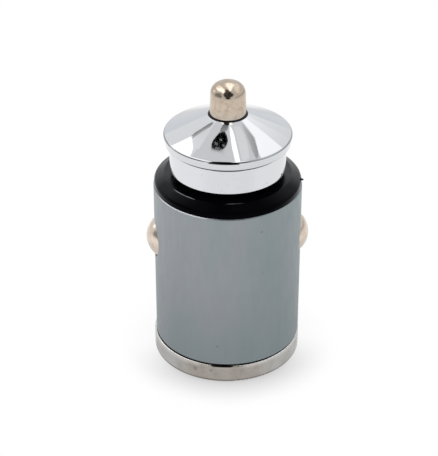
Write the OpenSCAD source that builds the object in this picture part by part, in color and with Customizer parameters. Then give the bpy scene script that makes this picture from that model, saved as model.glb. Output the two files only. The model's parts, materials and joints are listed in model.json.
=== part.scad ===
// Small metal car charger for a lighter socket, standing on its face end with the
// centre contact up. Z runs along the plug, the side contacts lie along X and the
// two charging ports open downwards, one each side of the board in the XZ plane.

/* [Barrel] */
// Outside diameter of the metal barrel
barrel_d = 20.8; // [20.5:0.1:23]
// Length of the barrel
barrel_len = 24; // [24:0.5:30]
// Wall of the barrel
barrel_wall = 0.6; // [0.4:0.05:0.65]
// Chamfer round the barrel's upper edge
barrel_edge = 0.15; // [0.05:0.05:0.3]

/* [Face ring] */
// How much wider the ring is than the barrel
ring_step = 0.3; // [0:0.1:1]
// Height of the ring's outer band
ring_h = 2.7; // [2.2:0.1:5]
// Height of the dark gap between the ring and the barrel
ring_gap = 0.25; // [0.1:0.05:0.5]
// Depth of that gap
ring_gap_depth = 0.4; // [0.2:0.05:0.45]
// How far the ring sits off the barrel's axis
ring_offset = 0.1; // [0:0.05:0.2]
// Rounding of the ring's outer edges
ring_round = 0.18; // [0.05:0.01:0.4]
// Thickness of the lip in front of the face plate
lip_t = 0.45; // [0.3:0.05:0.8]
// How far the lip reaches in over the face plate
lip_w = 0.3; // [0.15:0.05:0.35]
// Wall of the ring's spigot inside the barrel
spigot_wall = 0.4; // [0.3:0.05:0.45]
// Length of the spigot inside the barrel
spigot_len = 1.6; // [1:0.1:3]

/* [Face plate] */
// Thickness of the face plate
plate_t = 1.6; // [1:0.1:2]
// Width of a port's mouth in the plate
mouth_w = 12.4; // [12.2:0.1:12.5]
// Height of a port's mouth in the plate
mouth_h = 4.9; // [4.8:0.05:5.1]

/* [Ports] */
// Width of a port's shell
shell_w = 13.1; // [12.9:0.05:13.2]
// Height of a port's shell
shell_h = 5.7; // [5.6:0.05:5.8]
// Sheet thickness of the shell
shell_t = 0.3; // [0.2:0.05:0.3]
// Corner radius of the shell
shell_r = 0.6; // [0.5:0.05:1]
// How far behind the shell's mouth the tongue ends
tongue_recess = 2.05; // [1.8:0.05:3]
// Gap between the tongue's side and the shell's wall
tongue_side = 0.7; // [0.6:0.05:1]
// Thickness of the tongue
tongue_t = 1.84; // [1.6:0.02:2]
// Thickness of the block behind the tongue
tongue_block = 1.5; // [1:0.1:2]
// Width of one contact strip
strip_w = 1; // [0.8:0.1:1.2]
// Thickness of a contact strip
strip_t = 0.2; // [0.15:0.05:0.3]
// Width of a spring finger in the shell's wide walls
finger_w = 1.8; // [1.2:0.1:2.2]
// Length of a spring finger
finger_len = 4.6; // [3:0.1:5]
// Width of the slot round a spring finger
finger_slot = 0.35; // [0.2:0.05:0.5]

/* [Circuit board] */
// Thickness of the board
board_t = 0.8; // [0.6:0.1:0.9]
// Half width of the board between the ports
board_half_w = 8.3; // [7:0.1:8.5]

/* [Board parts] */
// Width of the inductor
inductor_w = 5.8; // [4:0.1:6.2]
// Height of the inductor
inductor_h = 2.8; // [2:0.1:3.5]
// Diameter of the capacitor's can
can_d = 6.3; // [4:0.1:6.3]
// Height of the capacitor
can_h = 5.8; // [4:0.1:6]
// Length of the controller chip's body
controller_w = 3.6; // [3:0.1:4]
// Width of the controller chip's body
controller_d = 3.9; // [3:0.1:4]
// Height of the controller chip's body
controller_h = 1.4; // [1:0.1:1.8]
// Length of the charge chip's body
charger_w = 2.9; // [2:0.1:3.2]
// Width of the charge chip's body
charger_d = 1.6; // [1.2:0.1:2]
// Height of the charge chip's body
charger_h = 1.1; // [0.8:0.1:1.4]
// Width of a chip's leg
leg_w = 0.4; // [0.3:0.05:0.5]
// Length of a chip's leg over the board
leg_foot = 0.5; // [0.3:0.05:0.6]
// Length of the diode's body
diode_w = 4.3; // [3:0.1:4.5]
// Width of the diode's body
diode_d = 2.6; // [2:0.1:2.6]
// Height of the diode's body
diode_h = 2.1; // [1.5:0.1:2.4]
// Length of a ceramic capacitor
ceramic_w = 3.2; // [2:0.1:3.4]
// Height of a ceramic capacitor
ceramic_h = 1; // [0.6:0.1:1.4]
// Length of a chip resistor, and width of the ceramic capacitors
resistor_w = 1.6; // [1:0.1:1.8]
// Height of a chip resistor
resistor_h = 0.5; // [0.3:0.05:0.7]

/* [Side contacts] */
// Diameter of a side contact
contact_d = 5.8; // [5:0.1:5.8]
// How far a side contact stands out of the barrel
contact_out = 1.15; // [0.9:0.05:1.4]
// Travel of a side contact
contact_travel = 1.1; // [0.6:0.05:1.2]
// Radius of the contact's dome
contact_dome_r = 3.47; // [3.3:0.01:8]
// Rounding at the foot of the dome
contact_round = 0.5; // [0.4:0.05:0.8]
// Sheet thickness of the contact
contact_wall = 0.35; // [0.2:0.05:0.4]
// Width of the contact's flange
contact_flange_w = 0.6; // [0.4:0.05:0.6]
// Thickness of the contact's flange
contact_flange_t = 0.5; // [0.3:0.05:0.6]
// Distance from the barrel's upper edge down to the contacts' axis
contact_drop = 8.4; // [7.5:0.1:8.4]
// Mean radius of the contact's spring
contact_spring_r = 1.9; // [1.4:0.05:2]
// Wire of the contact's spring
contact_spring_wire = 0.35; // [0.25:0.05:0.4]
// Turns of the contact's spring
contact_spring_turns = 4.5; // [3.5:1:5.5]

/* [Nose housing] */
// Outside diameter of the collar
collar_d = 20.6; // [20.3:0.1:20.8]
// Height of the collar over the barrel
collar_h = 1.65; // [1.4:0.05:2.5]
// Width of the bevel round the collar's flat shoulder
bevel_w = 1.4; // [1:0.05:1.6]
// Slope of the collar's bevel in degrees
bevel_a = 30; // [20:1:35]
// Rounding between the bevel and the collar's side
collar_round = 0.6; // [0.3:0.05:0.7]
// Outside diameter of the threaded neck
neck_d = 14.2; // [13.6:0.1:14.4]
// Length of the threaded neck
neck_len = 4.8; // [4:0.1:5]
// Pitch of the thread on the neck
thread_pitch = 0.6; // [0.5:0.05:1]
// Depth of the thread on the neck
thread_depth = 0.25; // [0.1:0.05:0.4]
// Wall of the sleeve inside the barrel
sleeve_wall = 0.9; // [0.6:0.1:1]
// Wall round the pocket of a side contact
pocket_wall = 0.6; // [0.4:0.05:0.6]
// Thickness of the floor of that pocket
pocket_floor = 0.7; // [0.5:0.05:0.8]
// Height of the centre terminal's seat over the barrel
seat_rise = 1.25; // [1:0.05:1.5]
// Thickness of the nose's floor under that seat
nose_floor = 2; // [1.5:0.1:2.5]

/* [Tip cap] */
// Outside diameter of the cap's rim
rim_d = 17.8; // [17:0.1:19]
// Height of the rim's widest line over the collar
rim_rise = 6; // [5.6:0.05:6.3]
// Rounding of the rim's upper edge
rim_round = 0.3; // [0.15:0.05:0.4]
// Height of the band under the rim
rim_band = 1.05; // [0.7:0.05:1.3]
// Taper of the band in degrees
band_a = 9; // [0:1:12]
// Rounding of the band's lower edge
band_round = 0.12; // [0.05:0.01:0.2]
// Outside diameter of the cap's skirt
skirt_d = 16.2; // [16:0.05:16.6]
// Gap between the skirt's foot and the collar
skirt_gap = 0.8; // [0.4:0.05:1.5]
// Rounding of the skirt's foot
skirt_round = 0.25; // [0.1:0.05:0.5]
// Slope of the cap's cone in degrees
cone_a = 25; // [20:0.5:28]
// Wall of the cap under its cone
cap_t = 0.6; // [0.4:0.05:0.7]

/* [Centre pin] */
// Diameter of the pin at its foot
pin_d = 5.06; // [4.6:0.02:5.2]
// Diameter of the pin below its dome
pin_tip_d = 4.86; // [4.3:0.02:5]
// How far the pin stands out of the cap
pin_out = 4.75; // [3.6:0.05:5]
// Radius of the crown on the pin's end
pin_crown_r = 5.4; // [4:0.1:12]
// Rounding round the crown
pin_round = 1.6; // [0.8:0.05:1.8]
// Sheet thickness of the pin
pin_wall = 0.45; // [0.3:0.05:0.5]
// Width of the pin's flange
pin_flange_w = 0.78; // [0.5:0.02:0.9]
// Thickness of the pin's flange
pin_flange_t = 0.8; // [0.5:0.05:1]
// Travel of the pin
pin_travel = 2.8; // [1.5:0.1:3.2]
// Play between the pin and its bush
bush_play = 0.06; // [0.05:0.01:0.1]
// Wall of the black bush round the pin
bush_wall = 0.12; // [0.1:0.01:0.3]
// How far the bush shows above the cap
bush_rise = 0.12; // [0.05:0.01:0.5]
// Width of the bush's flange inside the cap
bush_flange_w = 1.8; // [1.5:0.1:2]
// Thickness of the bush's flange
bush_flange_t = 0.6; // [0.4:0.05:0.8]
// Mean radius of the pin's spring
pin_spring_r = 1.6; // [1:0.05:1.65]
// Wire of the pin's spring
pin_spring_wire = 0.4; // [0.3:0.05:0.5]
// Turns of the pin's spring
pin_spring_turns = 9; // [7:1:12]

/* [Terminals] */
// Sheet thickness of the terminals
terminal_t = 0.25; // [0.15:0.05:0.35]
// Width of the terminals' tabs
tab_w = 1.6; // [1:0.1:2]
// Length of a tab over the board
tab_len = 1.5; // [1:0.1:1.8]

/* [Hidden] */
$fn = 96;
// clearances
press_gap = 0.05;
slide_gap = 0.1;
pocket_gap = 0.15;
rest_gap = 0.03;
over_travel = 0.7;
board_gap = 0.2;
part_gap = 0.5;
can_margin = 0.15;
eps = 0.01;
// radii
barrel_r = barrel_d / 2;
barrel_in_r = barrel_r - barrel_wall;
ring_r = barrel_r + ring_step / 2;
spigot_r = barrel_in_r - ring_offset - press_gap;
ring_bore_r = spigot_r - spigot_wall;
sleeve_r = barrel_in_r - slide_gap;
collar_r = collar_d / 2;
shoulder_r = collar_r - bevel_w;
neck_r = neck_d / 2;
rim_r = rim_d / 2;
skirt_r = skirt_d / 2;
pin_r = pin_d / 2;
pin_tip_r = pin_tip_d / 2;
bush_r = pin_r + bush_play;
cap_hole_r = bush_r + bush_wall + press_gap;
bush_flange_r = bush_r + bush_flange_w;
pin_flange_r = pin_r + pin_flange_w;
boss_bore_r = pin_flange_r + pocket_gap;
contact_r = contact_d / 2;
contact_hole_r = contact_r + slide_gap;
contact_flange_r = contact_r + contact_flange_w;
pocket_r = contact_flange_r + pocket_gap;
// heights from the face end
barrel_z0 = ring_h + ring_gap;
barrel_z1 = barrel_z0 + barrel_len;
plate_z1 = lip_t + plate_t;
shell_z0 = plate_z1 + press_gap;
contact_z = barrel_z1 - contact_drop;
sleeve_z0 = contact_z - pocket_r - pocket_wall;
shell_z1 = sleeve_z0 - slide_gap;
shell_len = shell_z1 - shell_z0;
seat_z = barrel_z1 + seat_rise;
floor_z = seat_z - nose_floor;
collar_z1 = barrel_z1 + collar_h;
neck_z1 = collar_z1 + neck_len;
rim_z = collar_z1 + rim_rise;
// the cap's cone starts where the rim's rounding meets it
cone_r0 = rim_r - rim_round + rim_round * sin(cone_a);
cone_z0 = rim_z + rim_round * cos(cone_a);
cap_z1 = cone_z0 + (cone_r0 - cap_hole_r) * tan(cone_a);
cap_drop = cap_t / cos(cone_a);
cap_flat_r = bush_flange_r + slide_gap;
cap_flat_z = cap_z1 - (cap_flat_r - cap_hole_r) * tan(cone_a) - cap_drop;
cap_in_r = neck_r + slide_gap;
cap_in_z = cap_z1 - (cap_in_r - cap_hole_r) * tan(cone_a) - cap_drop;
bush_z0 = cap_flat_z - bush_flange_t;
pin_flange_z1 = bush_z0 - rest_gap;
pin_z1 = cap_z1 + pin_out;
// distances from the axis along X
contact_x1 = barrel_r + contact_out;
flange_x1 = sqrt(pow(barrel_in_r, 2) - pow(contact_flange_r, 2)) - rest_gap;
flange_x0 = flange_x1 - contact_flange_t;
pocket_x = flange_x0 - contact_travel - over_travel - terminal_t;
block_x = pocket_x - pocket_floor;
// the board and the ports
board_y = board_t / 2;
port_y = board_y + press_gap + shell_h / 2;
board_z0 = shell_z0 + board_gap;
board_step_z = sleeve_z0 - board_gap;
board_z1 = floor_z - slide_gap;
board_neck = block_x - slide_gap;
tongue_z1 = shell_z1 - press_gap;
tongue_z0 = shell_z0 + tongue_recess;
tongue_len = tongue_z1 - tongue_block - tongue_z0;
tongue_w = shell_w - 2 * (shell_t + tongue_side);
strip_x = [-3.5, -1, 1, 3.5];
finger_x = [-shell_w / 4, shell_w / 4];
strip_y = port_y + 0.05;
guide_w = 0.5;
guide_t = 0.7;
// the parts start above the ports' contact strips
parts_z = shell_z1 + part_gap + strip_t;
chip_z = parts_z + board_gap + controller_w / 2;
chips_half = (controller_d + charger_d) / 2 + 2 * leg_foot + part_gap;
can_foot = can_d + 2 * can_margin;

// A block centred on X and Y
module block(w, d, h) {
    translate([-w / 2, -d / 2, 0]) cube([w, d, h]);
}

// A rectangle with round corners, centred
module round_rect(w, h, r) {
    square([w - 2 * r, h], center = true);
    square([w, h - 2 * r], center = true);
    for (x = [-1, 1], y = [-1, 1])
        translate([x * (w / 2 - r), y * (h / 2 - r)]) circle(r);
}

// Height of a bullet's surface at a distance x from its axis
function bullet_top(x, r, z1, crown_r, round_r) =
    let (crown_z = z1 - crown_r, round_x = r - round_r)
    x < round_x * crown_r / (crown_r - round_r)
        ? crown_z + sqrt(pow(crown_r, 2) - pow(x, 2))
        : crown_z + sqrt(pow(crown_r - round_r, 2) - pow(round_x, 2))
            + sqrt(pow(round_r, 2) - pow(x - round_x, 2));

// Half the outline of a bullet that stands on z0 and ends in a crown at z1
module bullet_half(r, z0, z1, crown_r, round_r, foot_r) {
    crown_z = z1 - crown_r;
    round_x = r - round_r;
    round_z = crown_z + sqrt(pow(crown_r - round_r, 2) - pow(round_x, 2));
    a = atan2(round_z - crown_z, round_x);
    polygon([[0, z0], [foot_r, z0], [r, round_z], [0, round_z]]);
    intersection() {
        translate([round_x, round_z]) circle(round_r);
        translate([0, z0]) square([r, z1 - z0]);
    }
    intersection() {
        translate([0, crown_z]) circle(crown_r);
        polygon([
            [0, crown_z],
            [2 * crown_r * cos(a), crown_z + 2 * crown_r * sin(a)],
            [0, crown_z + 2 * crown_r]
        ]);
    }
}

// A coil of round wire along Z, with its end turns closed
module coil(r, wire, turns, length) {
    steps = 12;
    sides = 6;
    count = turns * steps;
    rise = length - wire;
    inner = turns - 2;
    // one closed turn at each end, then an even pitch between them
    closed = wire * 1.02;
    function climb(t) =
        t < 1 ? closed * t :
        t > turns - 1 ? rise - closed * (turns - t) :
        closed + (rise - 2 * closed) * (t - 1) / inner;
    points = [
        for (i = [0:count], j = [0:sides - 1])
        let (t = i / steps, a = 360 * t, b = 360 * j / sides)
        [
            (r + wire / 2 * cos(b)) * cos(a),
            (r + wire / 2 * cos(b)) * sin(a),
            wire / 2 + climb(t) + wire / 2 * sin(b)
        ]
    ];
    tube = [
        for (i = [0:count - 1], j = [0:sides - 1])
        let (k = (j + 1) % sides, p = i * sides, q = p + sides)
        each [[p + j, q + j, p + k], [p + k, q + j, q + k]]
    ];
    first = [for (j = [0:sides - 1]) j];
    last = [for (j = [sides - 1:-1:0]) count * sides + j];
    polyhedron(points, concat([first], tube, [last]));
}

// Places its children on the board's face, their Z pointing away from it
module on_board(side, x, z) {
    translate([x, side * board_y, z]) rotate([side > 0 ? -90 : 90, 0, 0]) children();
}

// Anodised tube with a hole for each side contact
module barrel() {
    color([0.55, 0.58, 0.6])
    difference() {
        rotate_extrude()
            polygon([
                [barrel_in_r, barrel_z0],
                [barrel_r, barrel_z0],
                [barrel_r, barrel_z1 - barrel_edge],
                [barrel_r - barrel_edge, barrel_z1],
                [barrel_in_r, barrel_z1]
            ]);
        translate([0, 0, contact_z]) rotate([0, 90, 0])
            cylinder(h = 4 * barrel_r, r = contact_hole_r, center = true);
    }
}

// Turned nickel ring: outer band, seat for the barrel, spigot and a lip over the plate
module face_ring() {
    c = ring_round;
    color([0.72, 0.7, 0.67])
    translate([-ring_offset, 0, 0]) rotate_extrude() difference() {
        union() {
            translate([0, c]) square([ring_r, ring_h - 2 * c]);
            square([ring_r - c, ring_h]);
            translate([ring_r - c, c]) circle(c);
            translate([ring_r - c, ring_h - c]) circle(c);
            square([barrel_r - ring_gap_depth, barrel_z0]);
            square([spigot_r, barrel_z0 + spigot_len]);
        }
        translate([-1, -1]) square([ring_bore_r - lip_w + 1, barrel_z0 + spigot_len + 2]);
        translate([-1, lip_t]) square([ring_bore_r + 1, barrel_z0 + spigot_len]);
    }
}

// Black plate behind the ring's lip, with a mouth for each port
module face_plate() {
    color([0.08, 0.08, 0.09])
    translate([0, 0, lip_t]) linear_extrude(plate_t) difference() {
        translate([-ring_offset, 0]) circle(ring_bore_r - press_gap);
        for (side = [-1, 1])
            translate([0, side * port_y]) square([mouth_w, mouth_h], center = true);
    }
}

// Outline of the neck with its thread, from the collar to the neck's top
module neck_half() {
    teeth = floor(neck_len / thread_pitch) - 1;
    polygon(concat(
        [[0, collar_z1 - eps], [neck_r - thread_depth, collar_z1 - eps]],
        [
            for (i = [0:teeth - 1], half = [0, 1])
            [neck_r - (1 - half) * thread_depth, collar_z1 + (i + 0.5 + half / 2) * thread_pitch]
        ],
        [
            [neck_r - thread_depth, collar_z1 + (teeth + 0.5) * thread_pitch],
            [neck_r - thread_depth, neck_z1],
            [0, neck_z1]
        ]
    ));
}

// Black moulding: collar on the barrel, threaded neck, sleeve and contact pockets
module nose_housing() {
    round_x = collar_r - collar_round;
    drop = (collar_round + (round_x - shoulder_r) * sin(bevel_a)) / cos(bevel_a);
    round_z = collar_z1 - drop;
    tab_gap = slide_gap / 2;
    color([0.07, 0.07, 0.08])
    difference() {
        union() {
            rotate_extrude() difference() {
                union() {
                    polygon([
                        [0, barrel_z1],
                        [collar_r, barrel_z1],
                        [collar_r, round_z],
                        [round_x + collar_round * sin(bevel_a), round_z + collar_round * cos(bevel_a)],
                        [shoulder_r, collar_z1],
                        [0, collar_z1]
                    ]);
                    translate([round_x, round_z]) circle(collar_round);
                    neck_half();
                    translate([0, neck_z1 - eps]) square([bush_flange_r, bush_z0 - neck_z1 + eps]);
                    translate([0, floor_z]) square([sleeve_r, barrel_z1 - floor_z + eps]);
                    translate([sleeve_r - sleeve_wall, sleeve_z0])
                        square([sleeve_wall, floor_z - sleeve_z0 + eps]);
                }
                translate([-1, seat_z]) square([boss_bore_r + 1, bush_z0]);
                // an axis to revolve about, clear of the outline
                translate([-2 * collar_r, 0]) square([2 * collar_r, 2 * bush_z0]);
            }
            for (side = [-1, 1]) pocket_block(side);
        }
        for (side = [-1, 1]) {
            translate([side * (pocket_x + barrel_r) - barrel_r, 0, contact_z]) rotate([0, 90, 0])
                cylinder(h = 2 * barrel_r, r = pocket_r);
            // slot for the side terminal's tab
            translate([side * block_x, -board_y - terminal_t / 2, contact_z])
                cube([4 * pocket_floor, terminal_t + 2 * tab_gap, tab_w + 2 * tab_gap], center = true);
        }
        // slot for the centre terminal's tab
        translate([0, -board_y - terminal_t / 2, seat_z])
            cube([tab_w + 2 * tab_gap, terminal_t + 2 * tab_gap, 4 * nose_floor], center = true);
    }
}

// Block that holds a side contact's pocket, with the guides for the board's edge
module pocket_block(side) {
    half = pocket_r + pocket_wall;
    width = sleeve_r - block_x;
    intersection() {
        translate([side > 0 ? block_x : -block_x - width, -half, sleeve_z0])
            cube([width, 2 * half, 2 * half]);
        cylinder(h = 2 * barrel_z1, r = sleeve_r);
    }
    for (y = [-1, 1])
        translate([
            side * (block_x - guide_w / 2 + eps),
            y * (board_y + press_gap + guide_t / 2),
            contact_z
        ])
            cube([guide_w + 2 * eps, guide_t, 2 * half], center = true);
}

// Chrome cap: skirt, ledge, tapered band, round rim and cone
module tip_cap() {
    skirt_z0 = collar_z1 + skirt_gap;
    // the band runs down from the rim's rounding to the ledge over the skirt
    band_z0 = rim_z - rim_band;
    band_x1 = rim_r - rim_round + rim_round * cos(band_a);
    band_z1 = rim_z - rim_round * sin(band_a);
    edge_z = band_z0 + band_round;
    edge_x = band_x1 - (band_z1 - edge_z) * tan(band_a) - band_round / cos(band_a);
    lead = 0.1;
    color([0.85, 0.86, 0.87])
    rotate_extrude() {
        polygon([
            [cap_in_r + lead, skirt_z0],
            [skirt_r - skirt_round, skirt_z0],
            [skirt_r - skirt_round, skirt_z0 + skirt_round],
            [skirt_r, skirt_z0 + skirt_round],
            [skirt_r, band_z0],
            [edge_x, band_z0],
            [edge_x + band_round * cos(band_a), edge_z - band_round * sin(band_a)],
            [band_x1, band_z1],
            [rim_r - rim_round, rim_z],
            [cone_r0, cone_z0],
            [cap_hole_r, cap_z1],
            [cap_hole_r, cap_flat_z],
            [cap_flat_r, cap_flat_z],
            [cap_in_r, cap_in_z],
            [cap_in_r, skirt_z0 + lead]
        ]);
        translate([skirt_r - skirt_round, skirt_z0 + skirt_round]) circle(skirt_round);
        translate([edge_x, edge_z]) circle(band_round);
        translate([rim_r - rim_round, rim_z]) circle(rim_round);
    }
}

// Black bush that keeps the pin off the metal cap
module tip_bush() {
    color([0.06, 0.06, 0.06])
    rotate_extrude() {
        translate([bush_r, bush_z0]) square([bush_flange_w, bush_flange_t]);
        translate([bush_r, bush_z0]) square([bush_wall, cap_z1 + bush_rise - bush_z0]);
    }
}

// Drawn bullet pin, hollow for its spring, with a flange that the bush holds in
module centre_pin() {
    straight = cap_z1 + bush_rise;
    flange_z0 = pin_flange_z1 - pin_flange_t;
    color([0.77, 0.71, 0.65])
    rotate_extrude() difference() {
        union() {
            square_at(pin_flange_r, flange_z0, pin_flange_z1);
            square_at(pin_r, flange_z0, straight);
            bullet_half(pin_tip_r, straight - eps, pin_z1, pin_crown_r, pin_round, pin_r);
        }
        bullet_half(
            pin_tip_r - pin_wall, flange_z0 - 1, pin_z1 - pin_wall,
            pin_crown_r - pin_wall, pin_round - pin_wall, pin_tip_r - pin_wall
        );
    }
}

// A rectangle from the axis out to r
module square_at(r, z0, z1) {
    translate([0, z0]) square([r, z1 - z0]);
}

// Coil spring from the centre terminal up into the pin
module centre_spring() {
    foot = seat_z + terminal_t + rest_gap;
    // the coil meets the crown where the crown has curved in to the coil's own radius
    top = bullet_top(
        pin_spring_r + pin_spring_wire / 2, pin_tip_r - pin_wall,
        pin_z1 - pin_wall, pin_crown_r - pin_wall, pin_round - pin_wall
    ) - rest_gap;
    color([0.62, 0.62, 0.6])
    translate([0, 0, foot]) coil(pin_spring_r, pin_spring_wire, pin_spring_turns, top - foot);
}

// Brass disc under the centre spring, with a tab down to the board
module centre_terminal() {
    color([0.8, 0.65, 0.3]) {
        translate([0, 0, seat_z]) cylinder(h = terminal_t, r = pin_spring_r + 3 * pin_spring_wire);
        translate([-tab_w / 2, -board_y - terminal_t, board_z1 - tab_len])
            cube([tab_w, terminal_t, seat_z - board_z1 + tab_len + eps]);
    }
}

// Drawn nickel button with a flange behind the barrel's hole
module side_contact() {
    translate([0, 0, contact_z]) rotate([0, 90, 0]) color([0.8, 0.75, 0.68])
    rotate_extrude() difference() {
        union() {
            square_at(contact_flange_r, flange_x0, flange_x1);
            bullet_half(contact_r, flange_x0, contact_x1, contact_dome_r, contact_round, contact_r);
        }
        bullet_half(
            contact_r - contact_wall, flange_x0 - 1, contact_x1 - contact_wall,
            contact_dome_r - contact_wall, contact_round - contact_wall, contact_r - contact_wall
        );
    }
}

// Coil spring from the side terminal out into the button
module contact_spring() {
    foot = pocket_x + terminal_t + rest_gap;
    top = bullet_top(
        contact_spring_r + contact_spring_wire / 2, contact_r - contact_wall,
        contact_x1 - contact_wall, contact_dome_r - contact_wall, contact_round - contact_wall
    ) - rest_gap;
    color([0.62, 0.62, 0.6])
    translate([foot, 0, contact_z]) rotate([0, 90, 0])
        coil(contact_spring_r, contact_spring_wire, contact_spring_turns, top - foot);
}

// Brass disc on the pocket's floor, with a tab onto the board
module contact_terminal() {
    color([0.8, 0.65, 0.3]) {
        translate([pocket_x, 0, contact_z]) rotate([0, 90, 0])
            cylinder(h = terminal_t, r = contact_spring_r + 2 * contact_spring_wire);
        translate([board_neck - tab_len, -board_y - terminal_t, contact_z - tab_w / 2])
            cube([pocket_x - board_neck + tab_len + eps, terminal_t, tab_w]);
    }
}

// Sheet metal shell of a port, with two spring fingers in each wide wall
module port_shell() {
    root_z = shell_z0 + tongue_recess + part_gap;
    color([0.75, 0.76, 0.78])
    translate([0, port_y, 0]) difference() {
        translate([0, 0, shell_z0]) linear_extrude(shell_len) difference() {
            round_rect(shell_w, shell_h, shell_r);
            round_rect(shell_w - 2 * shell_t, shell_h - 2 * shell_t, shell_r - shell_t);
        }
        for (x = finger_x) translate([x, 0, root_z]) rotate([90, 0, 0])
            linear_extrude(2 * shell_h, center = true) difference() {
                translate([-finger_w / 2 - finger_slot, 0]) square([finger_w + 2 * finger_slot, finger_len]);
                translate([-finger_w / 2, -eps]) square([finger_w, finger_len - finger_slot + eps]);
            }
    }
}

// Moulded tongue with the block that closes the shell's back
module port_tongue() {
    block_w = shell_w - 2 * shell_t - 2 * press_gap;
    block_h = shell_h - 2 * shell_t - 2 * press_gap;
    block_z0 = tongue_z1 - tongue_block;
    color([0.9, 0.9, 0.88])
    difference() {
        union() {
            translate([0, strip_y + tongue_t / 2, tongue_z0])
                block(tongue_w, tongue_t, tongue_len + eps);
            translate([0, port_y, block_z0]) linear_extrude(tongue_block)
                round_rect(block_w, block_h, shell_r - shell_t);
        }
        for (x = strip_x)
            translate([x, strip_y - strip_t / 2 - press_gap / 2, block_z0 - eps])
                block(strip_w + press_gap, strip_t + press_gap, tongue_block + 1);
    }
}

// Four contact strips that run along the tongue and turn down to the board
module port_contacts() {
    z0 = tongue_z0 + 0.6;
    z1 = shell_z1 + press_gap;
    color([0.85, 0.7, 0.35])
    for (x = strip_x)
        translate([x - strip_w / 2, 0, 0]) rotate([90, 0, 90]) linear_extrude(strip_w)
            polygon([
                [strip_y - strip_t, z0],
                [strip_y, z0],
                [strip_y, z1 + strip_t],
                [board_y, z1 + strip_t],
                [board_y, z1],
                [strip_y - strip_t, z1]
            ]);
}

// Board: wide between the ports, narrow between the contact pockets
module circuit_board() {
    color([0.1, 0.35, 0.2])
    rotate([90, 0, 0]) linear_extrude(board_t, center = true) {
        translate([-board_half_w, board_z0]) square([2 * board_half_w, board_step_z - board_z0]);
        translate([-board_neck, board_z0]) square([2 * board_neck, board_z1 - board_z0]);
    }
}

// Shielded power inductor
module inductor() {
    half = inductor_w / 2;
    cut = 0.38 * half;
    color([0.25, 0.25, 0.27])
    on_board(-1, 0, parts_z + diode_d + part_gap + half) {
        linear_extrude(inductor_h) polygon([
            [cut - half, -half], [half - cut, -half], [half, cut - half], [half, half - cut],
            [half - cut, half], [cut - half, half], [-half, half - cut], [-half, cut - half]
        ]);
        cylinder(h = inductor_h + 0.2, r = half - 0.5);
    }
}

// Electrolytic capacitor on its square foot
module capacitor() {
    r = can_d / 2;
    foot_t = 0.9;
    bead = 0.25;
    color([0.75, 0.76, 0.78])
    on_board(1, 0, chip_z + controller_w / 2 + board_gap + can_foot / 2) {
        block(can_foot, can_foot, foot_t);
        rotate_extrude() polygon([
            [0, foot_t - eps], [r, foot_t - eps], [r, foot_t + 2 * bead], [r - bead, foot_t + 3 * bead],
            [r, foot_t + 4 * bead], [r, can_h - bead], [r - bead, can_h], [0, can_h]
        ]);
    }
}

// A moulded chip with legs down two sides
module chip(w, d, h, legs, pitch) {
    leg_t = 0.18;
    lift = 0.1;
    translate([0, 0, lift]) block(w, d, h);
    for (i = [0:legs - 1], side = [-1, 1])
        translate([(i - (legs - 1) / 2) * pitch, side * (d / 2 + leg_foot / 2 - eps), 0]) {
            block(leg_w, leg_foot + 2 * eps, leg_t);
            translate([0, side * (leg_t / 2 - leg_foot / 2), 0]) block(leg_w, leg_t, h / 2);
        }
}

// Buck converter chip with four legs a side
module controller_chip() {
    color([0.12, 0.12, 0.13])
    on_board(1, controller_d / 2 + leg_foot - chips_half, chip_z) rotate([0, 0, 90])
        chip(controller_w, controller_d, controller_h, 4, controller_w / 4);
}

// Small chip that sets the charging current
module charge_chip() {
    color([0.12, 0.12, 0.13])
    on_board(1, chips_half - charger_d / 2 - leg_foot, chip_z) rotate([0, 0, 90])
        chip(charger_w, charger_d, charger_h, 3, charger_w / 3);
}

// Rectifier diode with a tab at each end
module diode() {
    tab = 0.45;
    lift = 0.1;
    color([0.14, 0.14, 0.15]) on_board(-1, 0, parts_z + diode_d / 2) {
        translate([0, 0, lift]) block(diode_w, diode_d, diode_h);
        block(diode_w + 2 * tab, diode_d / 2, 0.25);
    }
}

// Ceramic capacitors beside the centre terminal's tab and resistors beside the inductor
module chip_parts() {
    ceramic_z = board_z1 - resistor_w / 2 - part_gap;
    resistor_z = contact_z + (tab_w + resistor_w) / 2 + part_gap;
    resistor_d = resistor_w / 2;
    color([0.7, 0.6, 0.45])
    for (side = [-1, 1]) {
        on_board(-1, side * (tab_w + ceramic_w / 2), ceramic_z) block(ceramic_w, resistor_w, ceramic_h);
        on_board(-1, side * (inductor_w / 2 + 2 * part_gap + resistor_d / 2), resistor_z)
            block(resistor_d, resistor_w, resistor_h);
    }
}

barrel();
face_ring();
face_plate();
nose_housing();
tip_cap();
tip_bush();
centre_pin();
centre_spring();
centre_terminal();
rotate([0, 0, 180]) side_contact();  // side_contact_left
side_contact();  // side_contact_right
rotate([0, 0, 180]) contact_spring();  // contact_spring_left
contact_spring();  // contact_spring_right
mirror([1, 0, 0]) contact_terminal();  // contact_terminal_left
contact_terminal();  // contact_terminal_right
mirror([0, 1, 0]) port_shell();  // port_shell_front
port_shell();  // port_shell_back
mirror([0, 1, 0]) port_tongue();  // port_tongue_front
port_tongue();  // port_tongue_back
mirror([0, 1, 0]) port_contacts();  // port_contacts_front
port_contacts();  // port_contacts_back
circuit_board();
inductor();
capacitor();
controller_chip();
charge_chip();
diode();
chip_parts();
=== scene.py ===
import json
import math

import bmesh
import bpy
from mathutils import Matrix, Vector, noise

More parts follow.
